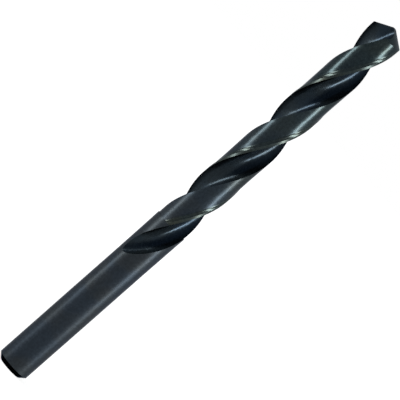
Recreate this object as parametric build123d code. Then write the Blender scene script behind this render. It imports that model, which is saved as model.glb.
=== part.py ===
from build123d import *
import os
from math import acos, asin, atan2, ceil, cos, degrees, pi, radians, sin, sqrt, tan

# A straight-shank twist drill, ground from one bar of high-speed steel and standing on its shank end.
# The origin is the centre of the shank end, and +Z runs along the axis to the chisel edge.
# At the point the two lips lie along X. The helix is right-hand, and flutes, lands and
# flanks are all there twice, half a turn apart.

# Driving dimensions, in millimetres and degrees
# Blank
drill_diameter = 10.0  # across the margins at the corners of the point
overall_length = 133.0  # from the shank end to the middle of the chisel edge
shank_diameter = 9.75
shank_chamfer = 1.35
back_taper = 0.10  # by how much the margins' diameter shrinks along the relieved lands

# Flutes
helix_angle = 29.0  # at the drill's diameter
flute_length = 90.3  # from the point to the end of the run-out
web_thickness = 1.6  # the core between the flutes at the point
web_taper = 0.024  # growth of the web's thickness for each millimetre from the point
flute_radius = 2.9  # the hollow of the flute behind the cutting face
flute_hollow_angle = 56.0  # from the leading corner to the deepest line of the flute
wheel_radius = 18.0  # the grinding wheel whose rim shapes the run-out

# Lands
margin_width = 0.8  # the full-diameter strip behind the leading edge
slope_width = 0.75  # from the margin down to the relieved land
slope_depth = 0.17  # drop of the land at the foot of that slope
lowest_line = 3.1  # from the leading edge back round the land to its lowest line
lowest_depth = 0.25  # drop of the land there
heel_depth = 0.17  # drop of the land at its heel
clearance_length = 76.8  # from the point to the small step where the relieved land ends

# Point
point_angle = 118.0
lip_relief_angle = 7.0
flank_cone_angle = 50.0  # half angle of the grinding cone that each flank is part of
flank_cone_setback = 4.9  # from the axis back along the lip's line to the apex of that cone

# How the long surfaces are drawn
overrun = 1.5  # length left on the point for its grinding
section_turn = 15.0  # turn of the helix between two neighbouring cross-sections
run_out_sections = 10  # cross-sections that close the flute, ever closer to its end
flute_tip_angle = 1.2  # half the width at which the run-out closes

# Worked-out sizes
outer_radius = drill_diameter / 2
shank_radius = shank_diameter / 2
point_half_web = web_thickness / 2
half_point = radians(point_angle / 2)
helix = radians(helix_angle)
helix_lead = pi * drill_diameter / tan(helix)
flute_end = overall_length - flute_length
clearance_end = overall_length - clearance_length
top = overall_length + overrun
second = Rot(0, 0, 180)  # turns one half of the drill into the other


def polar(radius, angle):
    """The flat point at this radius, at this angle in degrees."""
    return Vector(radius * cos(radians(angle)), radius * sin(radians(angle)))


def angle_of(point):
    return degrees(atan2(point.Y, point.X))


def arc(radius, start, end):
    """An arc about the axis from one angle to another."""
    return ThreePointArc(polar(radius, start), polar(radius, (start + end) / 2), polar(radius, end))


def half_web(height):
    """The web grows thicker towards the shank."""
    return point_half_web + web_taper / 2 * (overall_length - height)


def face_angle(radius, web):
    """Angle of the cutting face at a radius, in degrees, for a web of this half thickness.

    The lip is straight and passes the axis at half the web. The further out one of its points
    lies, the lower it is, and the helix carries it on from its own height.
    """
    along_lip = sqrt(radius**2 - web**2)
    lip_drop = along_lip / tan(half_point)
    return degrees(asin(web / radius)) + lip_drop * 360 / helix_lead


deepest_angle = face_angle(outer_radius, point_half_web) + flute_hollow_angle


def flute_wall(height, lift):
    """The outline of one flute, from outside its leading edge, round the hollow, to outside its heel.

    lift is how far the grinding wheel stands off the web.
    """
    web = half_web(height)
    inner = 1.5 * web
    face_radii = (outer_radius + overrun, outer_radius, (outer_radius + inner) / 2, inner)
    face = [polar(radius, face_angle(radius, web)) for radius in face_radii]
    centre_distance = web + flute_radius
    far = (outer_radius + centre_distance + flute_radius) / 2
    far_cosine = (centre_distance**2 + flute_radius**2 - far**2) / (2 * centre_distance * flute_radius)
    far_turn = degrees(acos(far_cosine))
    centre = polar(centre_distance, deepest_angle)
    hollow = [centre - polar(flute_radius, deepest_angle - far_turn * step / 5) for step in range(6)]
    return Pos(polar(lift, deepest_angle)) * Spline(*face, *hollow)


def crossing(wall, radius, inside, outside):
    """How far along the wall it crosses this radius, between a place inside it and one outside."""
    for _ in range(40):
        middle = (inside + outside) / 2
        if (wall @ middle).length < radius:
            inside = middle
        else:
            outside = middle
    return inside


def flute_between(height, lift, leading_radius, heel_radius):
    """The flute's outline cut off at its leading edge and at its heel."""
    wall = flute_wall(height, lift)
    deepest = wall.param_at_point(polar(half_web(height) + lift, deepest_angle))
    leading = crossing(wall, leading_radius, deepest, 0)
    heel = crossing(wall, heel_radius, deepest, 1)
    return wall.trim(leading, heel)


def cross_section(height, land, flute):
    """A whole cross-section from one land and one flute, turned to its place on the helix."""
    half = [*land, second * flute]
    outline = Wire([*half, *[second * edge for edge in half]])
    turn = (height - overall_length) / helix_lead * 360
    return Pos(0, 0, height) * Rot(0, 0, turn) * make_face(outline)


def rising(low_radius, low_angle, edge_radius, edge_angle, shares):
    """Points of the land, which rises more and more from its lowest line to one of its edges."""
    rise = edge_radius - low_radius
    turn = edge_angle - low_angle
    return [polar(low_radius + rise * share**2, low_angle + turn * share) for share in shares]


def relieved_section(height):
    """Margin, slope, relieved land and flute, where the drill does its cutting."""
    margin_radius = outer_radius - back_taper / 2 * (overall_length - height) / clearance_length
    foot_radius = margin_radius - slope_depth
    lowest_radius = margin_radius - lowest_depth
    heel_radius = margin_radius - heel_depth
    flute = flute_between(height, 0, margin_radius, heel_radius)
    leading = angle_of(flute @ 0)
    heel = angle_of(flute @ 1) - 180
    slope_top = leading - degrees(margin_width / outer_radius)
    slope_foot = slope_top - degrees(slope_width / outer_radius)
    lowest = leading - degrees(lowest_line / outer_radius)
    margin = arc(margin_radius, leading, slope_top)
    slope = Line(margin @ 1, polar(foot_radius, slope_foot))
    front = rising(lowest_radius, lowest, foot_radius, slope_foot, (1, 0.5))
    rear = rising(lowest_radius, lowest, heel_radius, heel, (0, 1 / 3, 2 / 3, 1))
    land = Spline(*front, *rear)
    return cross_section(height, [margin, slope, land], flute)


# The wheel leaves the blank along its own rim, which draws out the end of the flute.
last_depth = shank_radius - half_web(flute_end)
run_out_length = sqrt(2 * wheel_radius * last_depth) * cos(helix)


def rim_lift(height):
    along_rim = max(0, flute_end + run_out_length - height) / cos(helix)
    return along_rim**2 / (2 * wheel_radius)


def run_out_section(height):
    """Full round lands between flutes that get shallower and close in the shank."""
    rise = (height - flute_end) / (clearance_end - flute_end)
    radius = shank_radius + (outer_radius - back_taper / 2 - shank_radius) * rise
    flute = arc(radius, deepest_angle - flute_tip_angle, deepest_angle + flute_tip_angle)
    if height > flute_end:
        flute = flute_between(height, rim_lift(height), radius, radius)
    land = arc(radius, angle_of(flute @ 0), angle_of(flute @ 1) - 180)
    return cross_section(height, [land], flute)


def cutting_length():
    """The long fluted part, still square at the point."""
    steps = ceil((top - clearance_end) / helix_lead * 360 / section_turn)
    heights = [clearance_end + (top - clearance_end) * step / steps for step in range(steps + 1)]
    return loft([relieved_section(height) for height in heights])


def run_out():
    """The end of the flutes, from the relieved lands down to the plain shank."""
    shares = [(step / run_out_sections) ** 2 for step in range(run_out_sections)]
    closing = [flute_end + run_out_length * share for share in shares]
    remaining = clearance_end - closing[-1]
    steps = ceil(remaining / helix_lead * 360 / section_turn)
    opening = [closing[-1] + remaining * step / steps for step in range(1, steps + 1)]
    return loft([run_out_section(height) for height in closing + opening])


def shank():
    """The plain shank with its chamfered end."""
    outline = Polyline(
        (0, 0),
        (shank_radius - shank_chamfer, 0),
        (shank_radius, shank_chamfer),
        (shank_radius, flute_end),
        (0, flute_end),
        close=True,
    )
    return revolve(Plane.XZ * make_face(outline), Axis.Z)


def flank_cone():
    """The grinding cone of one flank. The lip is one of its straight lines.

    It is placed with the lines of the two lips at z = 0 where they pass the axis.
    """
    relief = radians(lip_relief_angle)
    cone_half = radians(flank_cone_angle)
    lip = Vector(sin(half_point), 0, -cos(half_point))
    square_to_lip = Vector(cos(half_point), 0, sin(half_point))
    normal = square_to_lip * cos(relief) - Vector(0, sin(relief), 0)
    apex = Vector(0, point_half_web, 0) - lip * flank_cone_setback
    cone_axis = lip * cos(cone_half) - normal * sin(cone_half)
    height = 2 * overall_length
    cone = Cone(height * tan(cone_half), 0, height, align=(Align.CENTER, Align.CENTER, Align.MAX))
    return Plane(origin=apex, z_dir=-cone_axis) * cone


def drill_bit():
    """The fluted part, ground to its point, on the run-out and the shank."""
    flank = flank_cone()
    chisel_height = max(point.Z for point, _ in flank.find_intersection_points(Axis.Z))
    flank = Pos(0, 0, overall_length - chisel_height) * flank
    ground = cutting_length() & flank & (second * flank)
    return ground + run_out() + shank()


bit = drill_bit()
bit.label = "drill_bit"
os.makedirs("parts", exist_ok=True)
export_step(bit, "parts/drill_bit.step")
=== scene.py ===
# %% [markdown]
# # A twist drill in blued steel
#
# A twist drill is ground from one round bar of high-speed steel and then blued in hot steam,
# which leaves a thin, hard, blue-black oxide. The solid comes from CAD and keeps its shape.
# What this lesson adds is its finish, a small studio and a camera. The unit is the metre, and
# +Z runs up the drill from the end of the shank to the point.

# %% Load the drill
from math import cos, pi, radians, sin

import bpy
from mathutils import Matrix, Vector


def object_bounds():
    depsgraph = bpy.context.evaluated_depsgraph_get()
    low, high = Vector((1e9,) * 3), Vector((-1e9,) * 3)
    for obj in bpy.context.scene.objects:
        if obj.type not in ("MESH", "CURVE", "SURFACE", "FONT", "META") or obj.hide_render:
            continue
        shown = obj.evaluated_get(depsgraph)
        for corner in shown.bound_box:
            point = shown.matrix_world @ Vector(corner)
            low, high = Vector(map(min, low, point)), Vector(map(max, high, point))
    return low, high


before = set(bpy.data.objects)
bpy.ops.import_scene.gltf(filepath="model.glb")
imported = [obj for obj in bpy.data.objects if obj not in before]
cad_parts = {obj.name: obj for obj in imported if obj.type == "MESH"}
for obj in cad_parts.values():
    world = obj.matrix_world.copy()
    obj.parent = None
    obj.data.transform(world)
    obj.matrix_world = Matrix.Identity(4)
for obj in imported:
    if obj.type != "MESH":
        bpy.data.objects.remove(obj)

cad_low, cad_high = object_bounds()
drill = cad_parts["drill_bit"]
LENGTH = cad_high.z
print("The drill is", round(LENGTH * 1000, 1), "mm long and", round(cad_high.x * 2000, 1), "mm across")

# %% [markdown]
# ## The floor
#
# The drill stands on the flat end of its shank. Its floor is one wide, pale disc, like a sheet
# of white card. The disc belongs to the stage and not to the object.

# %% Lay the floor
FLOOR_RADIUS = 3.0

bpy.ops.object.select_all(action="DESELECT")
bpy.ops.mesh.primitive_circle_add(vertices=96, radius=FLOOR_RADIUS, fill_type="NGON", location=(0, 0, 0))
floor = bpy.context.object
floor.name = "floor"
print("The floor is", 2 * FLOOR_RADIUS, "m across")

# %% [markdown]
# ## The camera
#
# A drill is long and thin, so it is shown along the diagonal of the picture. Turning the drill
# would take it off its floor, so the camera rolls instead: the drill stays upright and still
# lies aslant in the frame, with its point up on the right. A very long lens keeps the two
# sides of the drill almost parallel. The camera looks a little down on it, which narrows the
# chamfer at the shank end to a thin dark crescent.

# %% Place the camera
IMAGE_SIZE = 400
FOCAL_LENGTH_IN_PIXELS = 3250.0
SENSOR_WIDTH = 36.0
CAMERA_DISTANCE = 0.8400
LOOK_FROM = radians(4.2)  # round the drill, from square to its lips
LOOK_DOWN = radians(4.4)
DRILL_SLOPE = radians(41.35)  # of the drill's axis in the picture
AIM = Vector((-0.0000345, 0.0, 0.0661))

around = Matrix.Rotation(LOOK_FROM, 3, "Z")
look = around @ Vector((0, cos(LOOK_DOWN), -sin(LOOK_DOWN)))
upright = around @ Vector((0, sin(LOOK_DOWN), cos(LOOK_DOWN)))
sideways = around @ Vector((1, 0, 0))
roll = pi / 2 - DRILL_SLOPE
camera_up = upright * cos(roll) - sideways * sin(roll)
camera_right = look.cross(camera_up)

lens = bpy.data.cameras.new("camera")
lens.sensor_width = SENSOR_WIDTH
lens.lens = SENSOR_WIDTH * FOCAL_LENGTH_IN_PIXELS / IMAGE_SIZE
lens.clip_start = 0.05
lens.clip_end = 100
camera = bpy.data.objects.new("camera", lens)
bpy.context.scene.collection.objects.link(camera)
axes = Matrix((camera_right, camera_up, -look)).transposed().to_4x4()
camera.matrix_world = Matrix.Translation(AIM - look * CAMERA_DISTANCE) @ axes
bpy.context.scene.camera = camera
print("The lens is", round(lens.lens), "mm long and looks from", CAMERA_DISTANCE, "m away")

# %% [markdown]
# ## The strip lamps
#
# Dark round steel shows its roundness by what it mirrors. A tall, narrow lamp well out to each
# side draws one soft line of light down each side of the shank, and bends into hooks and
# streaks where it meets the flutes. The lamps stand far enough round that their light slides
# along the drill, and the camera doesn't see them. Steel this dark needs strong lamps, so a
# pale thing that faces one of them would come out brighter than its colour is written.

# %% Stand a lamp on each side
LAMP_DISTANCE = 0.5
LAMP_AZIMUTH = 73.0  # to each side, as seen from the camera's place
LAMP_WIDTH = 0.10
LAMP_HEIGHT = 0.36
LAMP_MIDDLE = Vector((0, 0, 0.185))
LAMP_COLOUR = (1.0, 1.0, 0.97)
LEFT_RADIANCE = 30.0
RIGHT_RADIANCE = 43.0

def strip_lamp(name, azimuth, radiance, colour):
    """A tall area lamp that faces the drill. The wider or taller it is, the more watts it needs."""
    lamp = bpy.data.lights.new(name, "AREA")
    lamp.shape = "RECTANGLE"
    lamp.size = LAMP_WIDTH
    lamp.size_y = LAMP_HEIGHT
    lamp.energy = radiance * pi * LAMP_WIDTH * LAMP_HEIGHT
    lamp.color = colour
    lamp_object = bpy.data.objects.new(name, lamp)
    bpy.context.scene.collection.objects.link(lamp_object)
    angle = radians(azimuth) + LOOK_FROM
    outward = Vector((sin(angle), -cos(angle), 0))
    lamp_object.location = LAMP_MIDDLE + outward * LAMP_DISTANCE
    lamp_object.rotation_euler = (-outward).to_track_quat("-Z", "Y").to_euler()
    lamp_object.visible_camera = False
    print("The", name, "gives", round(lamp.energy, 2), "W")

strip_lamp("left strip lamp", -LAMP_AZIMUTH, LEFT_RADIANCE, LAMP_COLOUR)
strip_lamp("right strip lamp", LAMP_AZIMUTH, RIGHT_RADIANCE, LAMP_COLOUR)

# %% [markdown]
# ## Small helpers for shader nodes
#
# Every shader below is built from the same few steps, so they are written once: give a socket
# its source, do a sum, make a soft step, and mix two values. A source may be a number, a
# colour or another node's output.

# %% Write the node helpers
def give(tree, socket, source):
    """Link another node's output to this socket, or write a plain value into it."""
    if isinstance(source, bpy.types.NodeSocket):
        tree.links.new(source, socket)
    else:
        socket.default_value = source

def sum_of(tree, operation, *sources):
    """The result of one Math node."""
    node = tree.nodes.new("ShaderNodeMath")
    node.operation = operation
    for socket, source in zip(node.inputs, sources):
        give(tree, socket, source)
    return node.outputs["Value"]

def soft_step(tree, source, none, full):
    """0 where the source is at none, 1 where it is at full, and smooth in between."""
    node = tree.nodes.new("ShaderNodeMapRange")
    node.interpolation_type = "SMOOTHSTEP"
    give(tree, node.inputs["Value"], source)
    node.inputs["From Min"].default_value = none
    node.inputs["From Max"].default_value = full
    return node.outputs["Result"]

def mixed(tree, factor, first, second, kind="FLOAT"):
    """The first source where the factor is 0 and the second where it is 1."""
    node = tree.nodes.new("ShaderNodeMix")
    node.data_type = kind
    give(tree, node.inputs["Factor"], factor)
    give(tree, node.inputs["A"], first)
    give(tree, node.inputs["B"], second)
    return node.outputs["Result"]

def tinted(tree, colour, tint):
    """One colour multiplied by another."""
    node = tree.nodes.new("ShaderNodeMix")
    node.data_type = "RGBA"
    node.blend_type = "MULTIPLY"
    node.inputs["Factor"].default_value = 1.0
    give(tree, node.inputs["A"], colour)
    give(tree, node.inputs["B"], tint)
    return node.outputs["Result"]

def vector_of(tree, x, y, z):
    """One vector from three sources."""
    node = tree.nodes.new("ShaderNodeCombineXYZ")
    for socket, source in zip(node.inputs, (x, y, z)):
        give(tree, socket, source)
    return node.outputs["Vector"]

def parts_of(tree, vector):
    """The three parts of a vector."""
    node = tree.nodes.new("ShaderNodeSeparateXYZ")
    give(tree, node.inputs["Vector"], vector)
    return node.outputs

def from_axis(tree, x, y):
    """How far a place lies from the Z axis."""
    x_square = sum_of(tree, "POWER", x, 2.0)
    y_square = sum_of(tree, "POWER", y, 2.0)
    return sum_of(tree, "SQRT", sum_of(tree, "ADD", x_square, y_square))

def noise(tree, vector, scale, detail, roughness=0.5):
    """A grey noise, mostly between 0.3 and 0.7."""
    node = tree.nodes.new("ShaderNodeTexNoise")
    give(tree, node.inputs["Vector"], vector)
    node.inputs["Scale"].default_value = scale
    node.inputs["Detail"].default_value = detail
    node.inputs["Roughness"].default_value = roughness
    return node.outputs["Fac"]

print("The node helpers are ready")

# %% [markdown]
# ## The room
#
# Steel shows its room. Here the room is a pale backdrop behind the drill and a dimmer, bluish
# studio in front, where the camera stands, and that dim side is what the middle of the shank
# mirrors. The camera itself sees plain white, through Light Path, so the backdrop is white
# with no more light on the drill. Matt surfaces are lit by an even, third room, because Light
# Path tells the kinds of ray apart. Such a plain world needn't be sampled as a lamp.

# %% Build the room
ROOM_FRONT = (0.14, 0.21, 0.34, 1)
ROOM_BACK = (0.95, 0.98, 1.0, 1)
ROOM_LIGHT = (0.30, 0.31, 0.33, 1)  # what falls on a matt surface
WHITE = (1, 1, 1, 1)
FRONT_ENDS = 0.1  # along +Y, in the direction that a ray leaves
BACK_STARTS = 0.9

world = bpy.data.worlds.new("studio")
bpy.context.scene.world = world
world.use_nodes = True
world.cycles.sampling_method = "NONE"
tree = world.node_tree
path = tree.nodes.new("ShaderNodeLightPath").outputs
direction = tree.nodes.new("ShaderNodeTexCoord").outputs["Generated"]
backward = soft_step(tree, parts_of(tree, direction)["Y"], FRONT_ENDS, BACK_STARTS)
mirrored_room = mixed(tree, backward, ROOM_FRONT, ROOM_BACK, "RGBA")
mirrors = sum_of(tree, "MAXIMUM", path["Is Glossy Ray"], path["Is Transmission Ray"])
seen_room = mixed(tree, mirrors, ROOM_LIGHT, mirrored_room, "RGBA")
room = mixed(tree, path["Is Camera Ray"], seen_room, WHITE, "RGBA")
give(tree, tree.nodes["Background"].inputs["Color"], room)
print("The world has", len(tree.nodes), "nodes")

# %% [markdown]
# ## The floor's finish
#
# The floor is white card. Part of its white comes from the light that falls on it, and the
# object's shadow darkens that part. The rest is a glow that only the camera and the mirroring
# steel see, so the card is white with no more light on the drill. Behind the lamps, where none
# of their light falls, the glow is stronger.

# %% Finish the floor
CARD = (0.50, 0.50, 0.50, 1)
GLOW_NEAR = 0.64
GLOW_FAR = 0.96
NEAR = 0.15  # from the drill, where the glow starts to grow
FAR = 0.45  # and where it is full

card = bpy.data.materials.new("white card")
card.use_nodes = True
tree = card.node_tree
path = tree.nodes.new("ShaderNodeLightPath").outputs
place = tree.nodes.new("ShaderNodeTexCoord").outputs["Object"]
x, y, _ = parts_of(tree, place)
mirrors = sum_of(tree, "MAXIMUM", path["Is Glossy Ray"], path["Is Transmission Ray"])
seen = sum_of(tree, "MAXIMUM", path["Is Camera Ray"], mirrors)
far_out = soft_step(tree, from_axis(tree, x, y), NEAR, FAR)
glow = mixed(tree, far_out, GLOW_NEAR, GLOW_FAR)
shader = tree.nodes["Principled BSDF"]
shader.inputs["Base Color"].default_value = CARD
shader.inputs["Roughness"].default_value = 0.9
shader.inputs["Specular IOR Level"].default_value = 0.0
shader.inputs["Emission Color"].default_value = WHITE
give(tree, shader.inputs["Emission Strength"], sum_of(tree, "MULTIPLY", seen, glow))
floor.data.materials.append(card)
print("The card has", len(tree.nodes), "nodes")

# %% [markdown]
# ## Node groups
#
# A node group is a small machine with named sockets. It is built once and can be placed in any
# material. The groups below put out only numbers and colours that change over the surface, and
# the shader that uses them stays in the material.

# %% Write the group helpers
FLOAT = "NodeSocketFloat"
COLOUR = "NodeSocketColor"
VECTOR = "NodeSocketVector"

def new_group(name, inputs, outputs):
    """An empty shader node group with named sockets, and the sockets inside its two ends."""
    group = bpy.data.node_groups.new(name, "ShaderNodeTree")
    for socket_name, kind in inputs.items():
        group.interface.new_socket(socket_name, in_out="INPUT", socket_type=kind)
    for socket_name, kind in outputs.items():
        group.interface.new_socket(socket_name, in_out="OUTPUT", socket_type=kind)
    start = group.nodes.new("NodeGroupInput")
    end = group.nodes.new("NodeGroupOutput")
    return group, start.outputs, end.inputs

def place_group(tree, group, sources):
    """Put a group into a tree, give it its sources and return its outputs."""
    node = tree.nodes.new("ShaderNodeGroup")
    node.node_tree = group
    for name, source in sources.items():
        give(tree, node.inputs[name], source)
    return node.outputs

print("The group helpers are ready")

# %% [markdown]
# ## Where a spot lies on the drill
#
# Each surface of a drill is ground by another wheel: the round shank and lands, the hollow
# flutes, the narrow margins, the flanks of the point and the chamfer at the foot. The finish
# has to know which is which. The group works that out from the place and the direction of the
# surface. To follow the margins it winds the drill back straight: it takes the angle round the
# axis, adds the turn of the helix, and measures how far back a spot lies from the leading edge
# of its land. Both lands look alike, half a turn apart, so the angle is taken within half a turn.

# %% Build the group of places
HELIX_LEAD = 0.056676  # height of one full turn of the flutes
EDGE_AT_POINT = radians(28.04)  # angle of the leading edge at the point
EDGE_TWIST = radians(130.5)  # what it gains on the helix over a metre, as the web grows
BODY_RADIUS = 0.005
RELIEF_END = 0.0562  # height of the step where the relieved lands end
STEP_BLUR = 0.0002
FLUTE_REACH = 0.0044  # nearer the axis than this, a surface belongs to a flute
LAND_REACH = 0.0046  # and from here out it can be a land or the shank

places, start, end = new_group(
    "drill places",
    {"Position": VECTOR, "Normal": VECTOR},
    {"Behind Edge": FLOAT, "Round": FLOAT, "Relieved": FLOAT, "Flank": FLOAT, "Under": FLOAT},
)
x, y, z = parts_of(places, start["Position"])
x_facing, y_facing, z_facing = parts_of(places, start["Normal"])
radius = from_axis(places, x, y)
from_point = sum_of(places, "SUBTRACT", LENGTH, z)
turned_back = sum_of(places, "MULTIPLY", from_point, 2 * pi / HELIX_LEAD)
on_helix = sum_of(places, "ADD", sum_of(places, "ARCTAN2", y, x), turned_back)
edge = sum_of(places, "MULTIPLY_ADD", from_point, EDGE_TWIST, EDGE_AT_POINT)
behind_angle = sum_of(places, "FLOORED_MODULO", sum_of(places, "SUBTRACT", edge, on_helix), pi)
behind = sum_of(places, "MULTIPLY", behind_angle, BODY_RADIUS)
x_part = sum_of(places, "MULTIPLY", x, x_facing)
y_part = sum_of(places, "MULTIPLY", y, y_facing)
outward = sum_of(places, "DIVIDE", sum_of(places, "ADD", x_part, y_part), radius)
faces_out = soft_step(places, outward, 0.90, 0.95)
full_width = soft_step(places, radius, FLUTE_REACH, LAND_REACH)
round_part = sum_of(places, "MULTIPLY", faces_out, full_width)
faces_up = soft_step(places, z_facing, 0.65, 0.75)
near_point = soft_step(places, z, LENGTH - 0.013, LENGTH - 0.008)
above_step = soft_step(places, z, RELIEF_END - STEP_BLUR, RELIEF_END + STEP_BLUR)
give(places, end["Behind Edge"], behind)
give(places, end["Round"], round_part)
give(places, end["Relieved"], sum_of(places, "MULTIPLY", round_part, above_step))
give(places, end["Flank"], sum_of(places, "MULTIPLY", faces_up, near_point))
give(places, end["Under"], soft_step(places, z_facing, -0.3, -0.5))
print("The group of places has", len(places.nodes), "nodes")

# %% [markdown]
# ## Grinding lines
#
# A grinding wheel leaves very fine, close lines in the direction it runs. On the shank and the
# lands they are rings. In a flute they follow the helix. One noise, drawn out very long in one
# direction, gives either kind: the group takes a position that has already been stretched and
# puts out the height of the lines.

# %% Build the group of grinding lines
grinding, start, end = new_group("grinding lines", {"Stretched": VECTOR}, {"Height": FLOAT})
give(grinding, end["Height"], noise(grinding, start["Stretched"], 1.0, 3.0, 0.6))
print("The group of grinding lines has", len(grinding.nodes), "nodes")

# %% [markdown]
# ## Steam oxide
#
# The colour of the bluing depends on how thick the oxide has grown, so it is a little colder
# in one place and a little warmer in the next. The group takes one base colour, lets a slow
# noise pull it to either side, and lays a fine, lighter and darker speckle on top.

# %% Build the group of steam oxide
CLOUDS = 110.0  # to the metre
SPECKLES = 1500.0
COLDER = (0.90, 0.99, 1.06, 1)
WARMER = (1.05, 1.03, 0.96, 1)
DARKER = (0.88, 0.88, 0.88, 1)
LIGHTER = (1.12, 1.12, 1.12, 1)

oxide, start, end = new_group(
    "steam oxide",
    {"Position": VECTOR, "Color": COLOUR},
    {"Color": COLOUR, "Speckle": FLOAT},
)
clouds = soft_step(oxide, noise(oxide, start["Position"], CLOUDS, 2.0), 0.40, 0.62)
cast = mixed(oxide, clouds, COLDER, WARMER, "RGBA")
speckle = soft_step(oxide, noise(oxide, start["Position"], SPECKLES, 2.0), 0.30, 0.70)
grain = mixed(oxide, speckle, DARKER, LIGHTER, "RGBA")
toned = tinted(oxide, start["Color"], cast)
give(oxide, end["Color"], tinted(oxide, toned, grain))
give(oxide, end["Speckle"], speckle)
print("The group of steam oxide has", len(oxide.nodes), "nodes")

# %% [markdown]
# ## Blued steel: where each finish goes
#
# The material starts from the groups. It asks where a spot lies, and gets two more masks from
# the distance behind the leading edge: the margin, which is the narrow strip that keeps its
# full diameter, and the slope that leads from it down to the land.

# %% Start the blued steel
MARGIN_WIDTH = 0.0008
SLOPE_FOOT = 0.00155
FILLET = 0.0006  # reach of the hollow at the foot of the slope, to each side
MARGIN_BLUR = 0.0001
FINISH_CHANGES = 0.045  # height from which the lands' finish turns from the shank's
FINISH_CHANGED = 0.125

steel = bpy.data.materials.new("blued steel")
steel.use_nodes = True
tree = steel.node_tree
coordinates = tree.nodes.new("ShaderNodeTexCoord").outputs
where = place_group(tree, places, {"Position": coordinates["Object"], "Normal": coordinates["Normal"]})
behind = where["Behind Edge"]
x, y, z = parts_of(tree, coordinates["Object"])
to_point = soft_step(tree, z, FINISH_CHANGES, FINISH_CHANGED)
behind_slope = soft_step(tree, behind, SLOPE_FOOT + FILLET, SLOPE_FOOT)
edge_strip = sum_of(tree, "MULTIPLY", where["Relieved"], behind_slope)
past_margin = soft_step(tree, behind, MARGIN_WIDTH - MARGIN_BLUR, MARGIN_WIDTH + MARGIN_BLUR)
slope = sum_of(tree, "MULTIPLY", edge_strip, past_margin)
margin = sum_of(tree, "SUBTRACT", edge_strip, slope)
print("The leading edge has a margin of", MARGIN_WIDTH * 1000, "mm")

# %% [markdown]
# ## Blued steel: colour
#
# The oxide is nearly black. It is a touch greener on the lands towards the point. The flutes are
# bluer, from the oxide, and darker, which is painted shade for those hollows. The chamfer is nearly
# black, which is painted shade, since it faces down into its own shadow.

# %% Colour the blued steel
SHANK_COLOUR = (0.0185, 0.0225, 0.0275, 1)
LAND_COLOUR = (0.0185, 0.0245, 0.0245, 1)
# Bluer oxide, and darker than the lands: painted shade for the hollow flutes.
FLUTE_TONE_AND_SHADE = (0.0115, 0.0165, 0.0215, 1)
EDGE_COLOUR = (0.027, 0.032, 0.029, 1)
FLANK_COLOUR = (0.022, 0.029, 0.027, 1)
# Nearly black: painted shade, since the chamfer faces down into its own shadow.
CHAMFER_PAINTED_SHADE = (0.0006, 0.0008, 0.001, 1)

round_colour = mixed(tree, to_point, SHANK_COLOUR, LAND_COLOUR, "RGBA")
# Inside the flutes the colour is the darker one, which carries their painted shade.
colour = mixed(tree, where["Round"], FLUTE_TONE_AND_SHADE, round_colour, "RGBA")
colour = mixed(tree, edge_strip, colour, EDGE_COLOUR, "RGBA")
colour = mixed(tree, where["Flank"], colour, FLANK_COLOUR, "RGBA")
blued = place_group(tree, oxide, {"Position": coordinates["Object"], "Color": colour})
# Where the surface faces down, the colour becomes the chamfer's painted shade.
colour = mixed(tree, where["Under"], blued["Color"], CHAMFER_PAINTED_SHADE, "RGBA")
print("The shank's colour is", [round(part, 3) for part in SHANK_COLOUR[:3]])

# %% [markdown]
# ## Blued steel: gloss
#
# The shank is satin, and the lands get glossier towards the point. The slope behind the margin
# is the glossiest of all, so a small bright hook sits where the light crosses it. The speckle
# of the oxide makes the gloss a little uneven.

# %% Set the gloss of the blued steel
SHANK_ROUGHNESS = 0.345
LAND_ROUGHNESS = 0.25
FLUTE_ROUGHNESS = 0.27
MARGIN_ROUGHNESS = 0.30
SLOPE_ROUGHNESS = 0.24
FLANK_ROUGHNESS = 0.32
UNEVENNESS = 0.05

gloss = mixed(tree, to_point, SHANK_ROUGHNESS, LAND_ROUGHNESS)
gloss = mixed(tree, where["Round"], FLUTE_ROUGHNESS, gloss)
gloss = mixed(tree, margin, gloss, MARGIN_ROUGHNESS)
gloss = mixed(tree, slope, gloss, SLOPE_ROUGHNESS)
gloss = mixed(tree, where["Flank"], gloss, FLANK_ROUGHNESS)
uneven = sum_of(tree, "MULTIPLY_ADD", blued["Speckle"], UNEVENNESS, -UNEVENNESS / 2)
roughness = sum_of(tree, "ADD", gloss, uneven)
print("The shank's roughness is", SHANK_ROUGHNESS)

# %% [markdown]
# ## Blued steel: relief
#
# Two things are too fine for the solid. The grinding lines are about a millionth of a metre
# deep. The foot of the slope behind each margin is taken to be a small hollow and not a sharp
# crease. Both are heights in metres for one Bump node. The hollow has a fault: it breaks the
# bright hook there into fine strokes. With CORNER at 0 the hook is smooth.

# %% Add the relief of the blued steel
RINGS = (70.0, 70.0, 2600.0)  # lines to the metre along X, Y and Z
HELIX_LINES = (2600.0, 2600.0, 60.0)  # behind the edge, out from the axis, and up
LINE_DEPTH = 0.0000012
CORNER = 0.2267  # change of slope at the foot

def stretched(*sources_and_scales):
    """A vector of three sources, each with its own scale."""
    parts = [sum_of(tree, "MULTIPLY", source, scale) for source, scale in sources_and_scales]
    return vector_of(tree, *parts)

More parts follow.
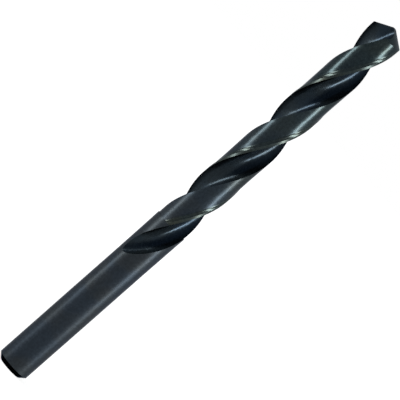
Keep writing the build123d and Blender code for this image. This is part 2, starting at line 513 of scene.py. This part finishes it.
radius = from_axis(tree, x, y)
rings = place_group(tree, grinding, {"Stretched": stretched(*zip((x, y, z), RINGS))})
helical = place_group(tree, grinding, {"Stretched": stretched(*zip((behind, radius, z), HELIX_LINES))})
line_height = mixed(tree, where["Round"], helical["Height"], rings["Height"])
from_foot = sum_of(tree, "ABSOLUTE", sum_of(tree, "SUBTRACT", behind, SLOPE_FOOT))
into_fillet = sum_of(tree, "MAXIMUM", sum_of(tree, "SUBTRACT", FILLET, from_foot), 0.0)
filled = sum_of(tree, "MULTIPLY", sum_of(tree, "POWER", into_fillet, 2.0), CORNER / 4 / FILLET)
filled = sum_of(tree, "MULTIPLY", filled, where["Relieved"])
bump = tree.nodes.new("ShaderNodeBump")
bump.inputs["Strength"].default_value = 1.0
bump.inputs["Distance"].default_value = 1.0
give(tree, bump.inputs["Height"], sum_of(tree, "MULTIPLY_ADD", line_height, LINE_DEPTH, filled))
print("The grinding lines are", LINE_DEPTH * 1000000, "micrometres deep")

# %% [markdown]
# ## Blued steel: the shader
#
# Bluing is partly metal and partly a dull oxide film, so the shader is about two thirds metal,
# and all metal on the chamfer, so that its painted shade stays dark. The matt rest keeps the depths of
# the flutes from going dead black. Specular Tint holds back the bright rim that a polished metal would
# show where it turns away.

# %% Finish the blued steel
OXIDE_METAL = 0.65
OXIDE_SHINE = 0.2
RIM_TINT = (0.35, 0.38, 0.42, 1)

shader = tree.nodes["Principled BSDF"]
give(tree, shader.inputs["Metallic"], mixed(tree, where["Under"], OXIDE_METAL, 1.0))
shader.inputs["Specular IOR Level"].default_value = OXIDE_SHINE
shader.inputs["Specular Tint"].default_value = RIM_TINT
give(tree, shader.inputs["Base Color"], colour)
give(tree, shader.inputs["Roughness"], roughness)
give(tree, shader.inputs["Normal"], bump.outputs["Normal"])
for slot in drill.material_slots:
    slot.material = steel
print("The blued steel has", len(tree.nodes), "nodes")

# %% [markdown]
# ## Last steps
#
# The Standard view shows colours as they are written. Nothing was added to the drill, so its
# box stays as it was when it was loaded.

# %% Choose the view
bpy.context.scene.view_settings.view_transform = "Standard"
